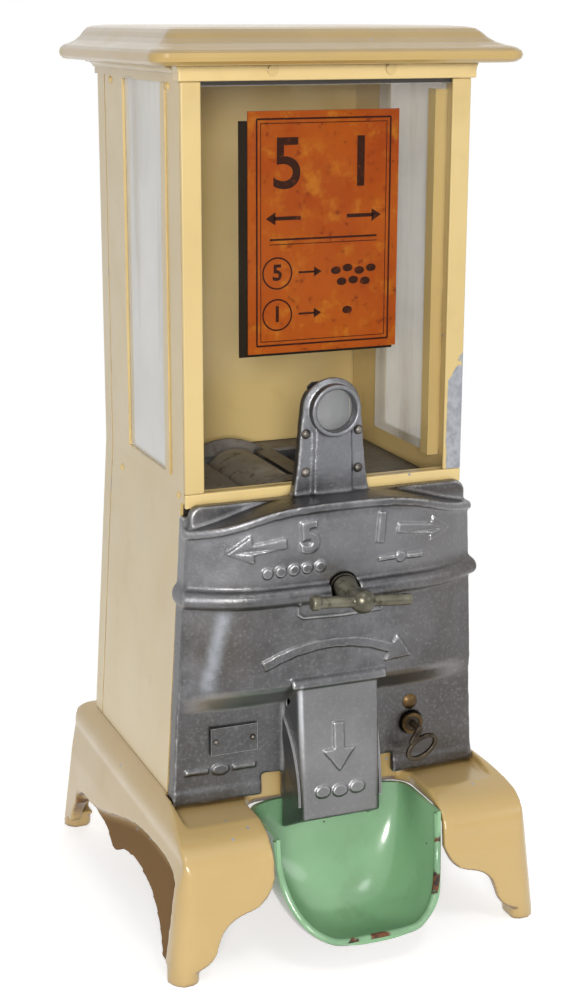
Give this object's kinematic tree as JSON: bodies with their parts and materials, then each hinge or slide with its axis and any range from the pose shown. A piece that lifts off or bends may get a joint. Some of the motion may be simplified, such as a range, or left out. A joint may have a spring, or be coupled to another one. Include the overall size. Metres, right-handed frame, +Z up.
{
  "type": "countertop vending machine",
  "caption": "Countertop nut vendor: cream glazed case on a splayed cast base, cast front with a coin tongue, T-handle, lock and key, and a green scoop cup.",
  "frame": {"origin": "middle of the bottom of the whole machine's box, on the plane of its four feet", "axes": "+Z up, +X to the right as seen from the front, the front with the cup and handle faces -Y"},
  "size_m": [0.2018, 0.2251, 0.4514],
  "materials": {
    "cream_paint": "aged gloss paint over sheet steel and castings",
    "cast_aluminium": "polished casting with fine pitting",
    "green_enamel": "vitreous enamel on pressed steel, chipped at the rim",
    "clear_glass": "clear sheet glass",
    "printed_card": "matt printed card",
    "dark_card": "dark matt board",
    "bronze": "worn, darkened bronze",
    "steel": "plain steel",
    "dark_sheet": "dark, tarnished sheet steel",
    "drum_metal": "dull cast drum",
    "gear_iron": "plain cast gear"
  },
  "bodies": {
    "machine": {"base": "cream_paint", "side_panel_left": "cream_paint", "side_panel_right": "cream_paint", "rear_panel": "cream_paint", "front_panel": "cream_paint", "front_post_left": "cream_paint", "front_post_right": "cream_paint", "front_sill": "cream_paint", "frieze": "cream_paint", "cornice_left": "cream_paint", "cornice_right": "cream_paint", "cornice_rear": "cream_paint", "glazing_beads": "cream_paint", "frieze_screws": "cream_paint", "side_rivets": "cream_paint", "front_casting": "cast_aluminium", "coin_window_ring": "cast_aluminium", "chute_cheeks": "cast_aluminium", "small_plate": "cast_aluminium", "cup": "green_enamel", "front_glass": "clear_glass", "side_glass_left": "clear_glass", "side_glass_right": "clear_glass", "coin_window_glass": "clear_glass", "display_card": "printed_card", "card_backing": "dark_card", "lock_body": "bronze", "lock_screw": "bronze", "shaft_bush": "bronze", "base_fasteners": "steel", "cup_bracket": "steel", "case_floor": "steel", "tongue_screws": "steel", "plate_pins": "steel", "coin_window_plate": "steel", "front_bearing_plate": "steel", "rear_bearing_plate": "steel", "delivery_chute": "steel", "coin_chute": "steel", "cash_box": "steel", "hopper_floor": "dark_sheet", "gear_guard": "dark_sheet"},
    "lid_set": {"lid": "cream_paint", "lid_frame": "steel"},
    "handle_set": {"t_handle": "bronze", "handle_bar": "bronze", "handle_shaft": "steel", "coin_wheel": "steel", "drive_pinion": "gear_iron", "shaft_collar": "steel"},
    "large_drum_set": {"large_drum": "drum_metal", "large_drum_spindle": "steel", "large_drum_gear": "gear_iron"},
    "small_drum_set": {"small_drum": "drum_metal", "small_drum_spindle": "steel", "small_drum_gear": "gear_iron"},
    "lock_set": {"lock_plug": "bronze", "key": "bronze", "lock_cam": "steel"}
  },
  "joints": [
    {"name": "lid_lift", "type": "slide", "parent": "machine", "child": "lid_set", "axis": [0, 0, 1], "range_m": [0, 0.08]},
    {"name": "large_drum_turn", "type": "hinge", "parent": "machine", "child": "large_drum_set", "pos_m": [-0.013, 0.0226, 0.21134], "axis": [0, 1, 0], "continuous": true},
    {"name": "handle_turn", "type": "hinge", "parent": "machine", "child": "handle_set", "pos_m": [0, -0.0654, 0.1843], "axis": [0, 1, 0], "continuous": true},
    {"name": "small_drum_turn", "type": "hinge", "parent": "machine", "child": "small_drum_set", "pos_m": [0.026, 0.0226, 0.19927], "axis": [0, 1, 0], "continuous": true},
    {"name": "lock_turn", "type": "hinge", "parent": "machine", "child": "lock_set", "pos_m": [0.0468, -0.0504, 0.1], "axis": [0, 1, 0], "range_deg": [0, 90]}
  ],
  "couplings": [
    {"joint": "handle_turn", "follows": "large_drum_turn", "ratio": -1.5},
    {"joint": "small_drum_turn", "follows": "large_drum_turn", "ratio": 1}
  ]
}
